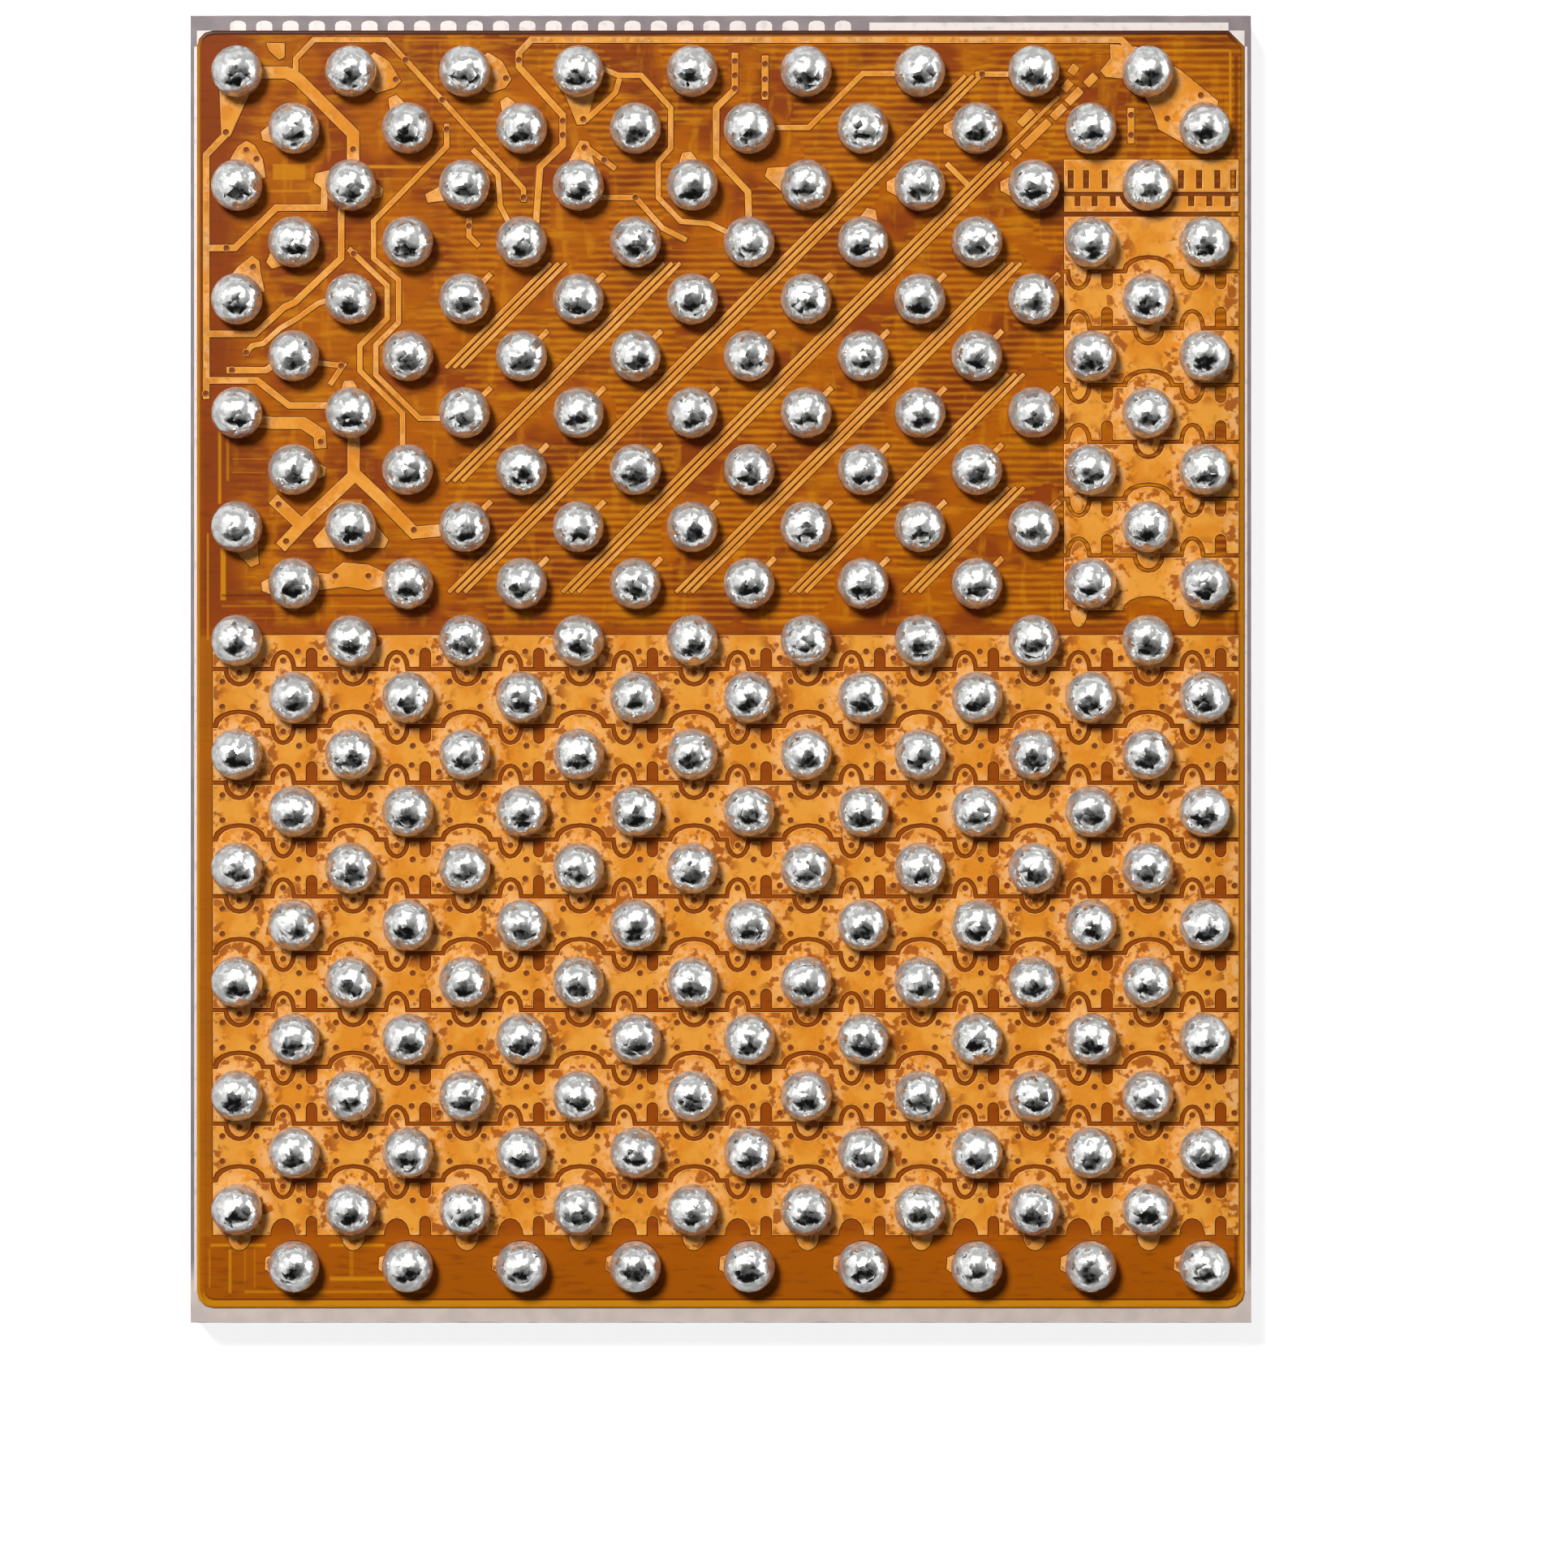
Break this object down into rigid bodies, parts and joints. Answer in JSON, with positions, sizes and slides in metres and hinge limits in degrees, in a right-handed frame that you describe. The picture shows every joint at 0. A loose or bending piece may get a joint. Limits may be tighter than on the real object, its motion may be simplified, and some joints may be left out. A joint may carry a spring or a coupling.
{
  "type": "bga chip",
  "caption": "Wafer-level ball grid array chip: bare silicon die with copper redistribution traces under amber polyimide and a staggered array of solder balls.",
  "frame": {"origin": "centre of the back face, on the plane the chip lies on", "axes": "+Z out of the ball side, +Y towards ball row A, +X along the ball rows away from the orientation mark's corner"},
  "size_m": [0.0052, 0.0066, 0.0006],
  "materials": {
    "back_film": "matt black back film, smooth, with one shallow round mark",
    "silicon": "sawn silicon, lilac grey",
    "strip_metal": "bare pale metal",
    "base_polyimide": "dark amber polyimide",
    "copper": "plated copper",
    "cover_polyimide": "clear amber polyimide, glossy",
    "under_bump_metal": "plated metal, slightly pink",
    "solder": "reflowed tin-silver solder, slightly wrinkled"
  },
  "bodies": {
    "root": {"back_film": "back_film", "silicon_die": "silicon", "scribe_metal": "strip_metal", "base_film": "base_polyimide", "signal_traces": "copper", "comb_block": "copper", "power_bands": "copper", "edge_lands": "copper", "cover_film": "cover_polyimide", "pad_row_a": "under_bump_metal", "pad_row_b": "under_bump_metal", "pad_row_c": "under_bump_metal", "pad_row_d": "under_bump_metal", "pad_row_e": "under_bump_metal", "pad_row_f": "under_bump_metal", "pad_row_g": "under_bump_metal", "pad_row_h": "under_bump_metal", "pad_row_j": "under_bump_metal", "pad_row_k": "under_bump_metal", "pad_row_l": "under_bump_metal", "pad_row_m": "under_bump_metal", "pad_row_n": "under_bump_metal", "pad_row_p": "under_bump_metal", "pad_row_r": "under_bump_metal", "pad_row_t": "under_bump_metal", "pad_row_u": "under_bump_metal", "pad_row_v": "under_bump_metal", "pad_row_w": "under_bump_metal", "pad_row_y": "under_bump_metal", "pad_row_aa": "under_bump_metal", "pad_row_ab": "under_bump_metal", "ball_row_a": "solder", "ball_row_b": "solder", "ball_row_c": "solder", "ball_row_d": "solder", "ball_row_e": "solder", "ball_row_f": "solder", "ball_row_g": "solder", "ball_row_h": "solder", "ball_row_j": "solder", "ball_row_k": "solder", "ball_row_l": "solder", "ball_row_m": "solder", "ball_row_n": "solder", "ball_row_p": "solder", "ball_row_r": "solder", "ball_row_t": "solder", "ball_row_u": "solder", "ball_row_v": "solder", "ball_row_w": "solder", "ball_row_y": "solder", "ball_row_aa": "solder", "ball_row_ab": "solder"}
  },
  "joints": []
}
